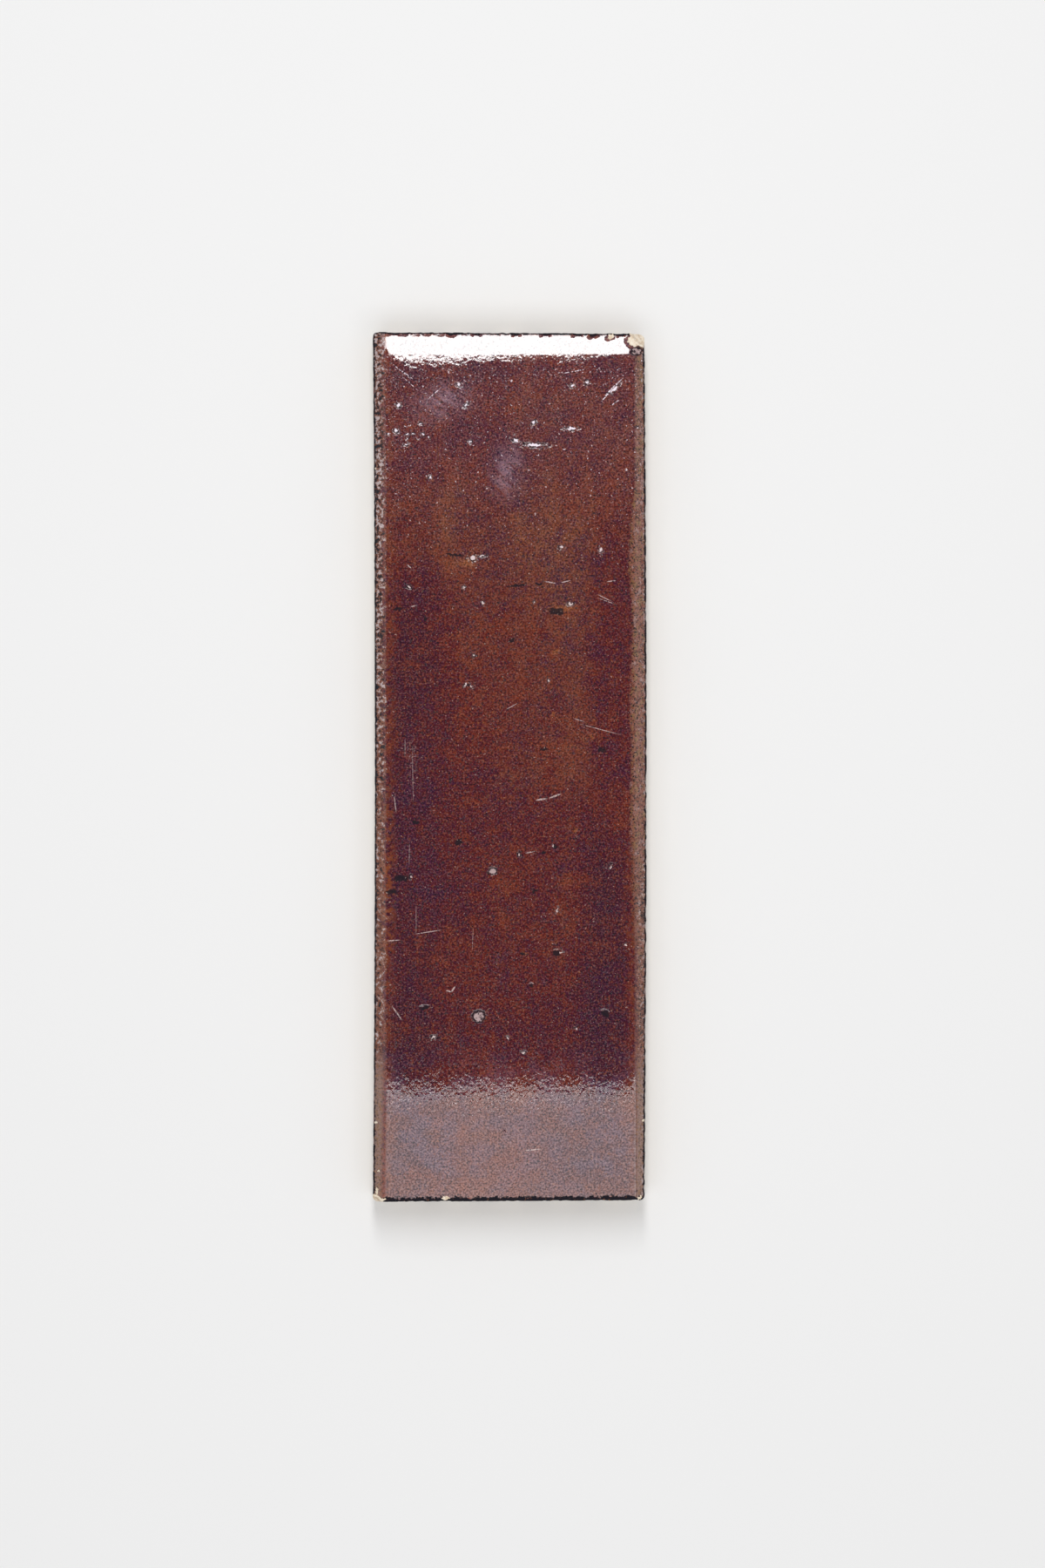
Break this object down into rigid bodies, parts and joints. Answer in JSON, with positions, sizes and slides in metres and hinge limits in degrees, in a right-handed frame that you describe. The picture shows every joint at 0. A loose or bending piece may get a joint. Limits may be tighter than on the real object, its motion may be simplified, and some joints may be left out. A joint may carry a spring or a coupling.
{
  "type": "thin brick tile",
  "caption": "Oblong thin brick tile with a pillowed brown-glazed face, dovetail key grooves in its bed and chipped corners, for bonding to a wall.",
  "frame": {"origin": "centre of the bed, the unglazed back that the tile lies on", "axes": "+Z out of the glazed face, +Y along the tile from its foot to its head, +X across it"},
  "size_m": [0.064, 0.203, 0.013],
  "materials": {
    "glazed_brick": "gloss red-brown glaze over a cream fired body, worn and chipped along the arrises"
  },
  "bodies": {
    "root": {"brick_tile": "glazed_brick"}
  },
  "joints": []
}
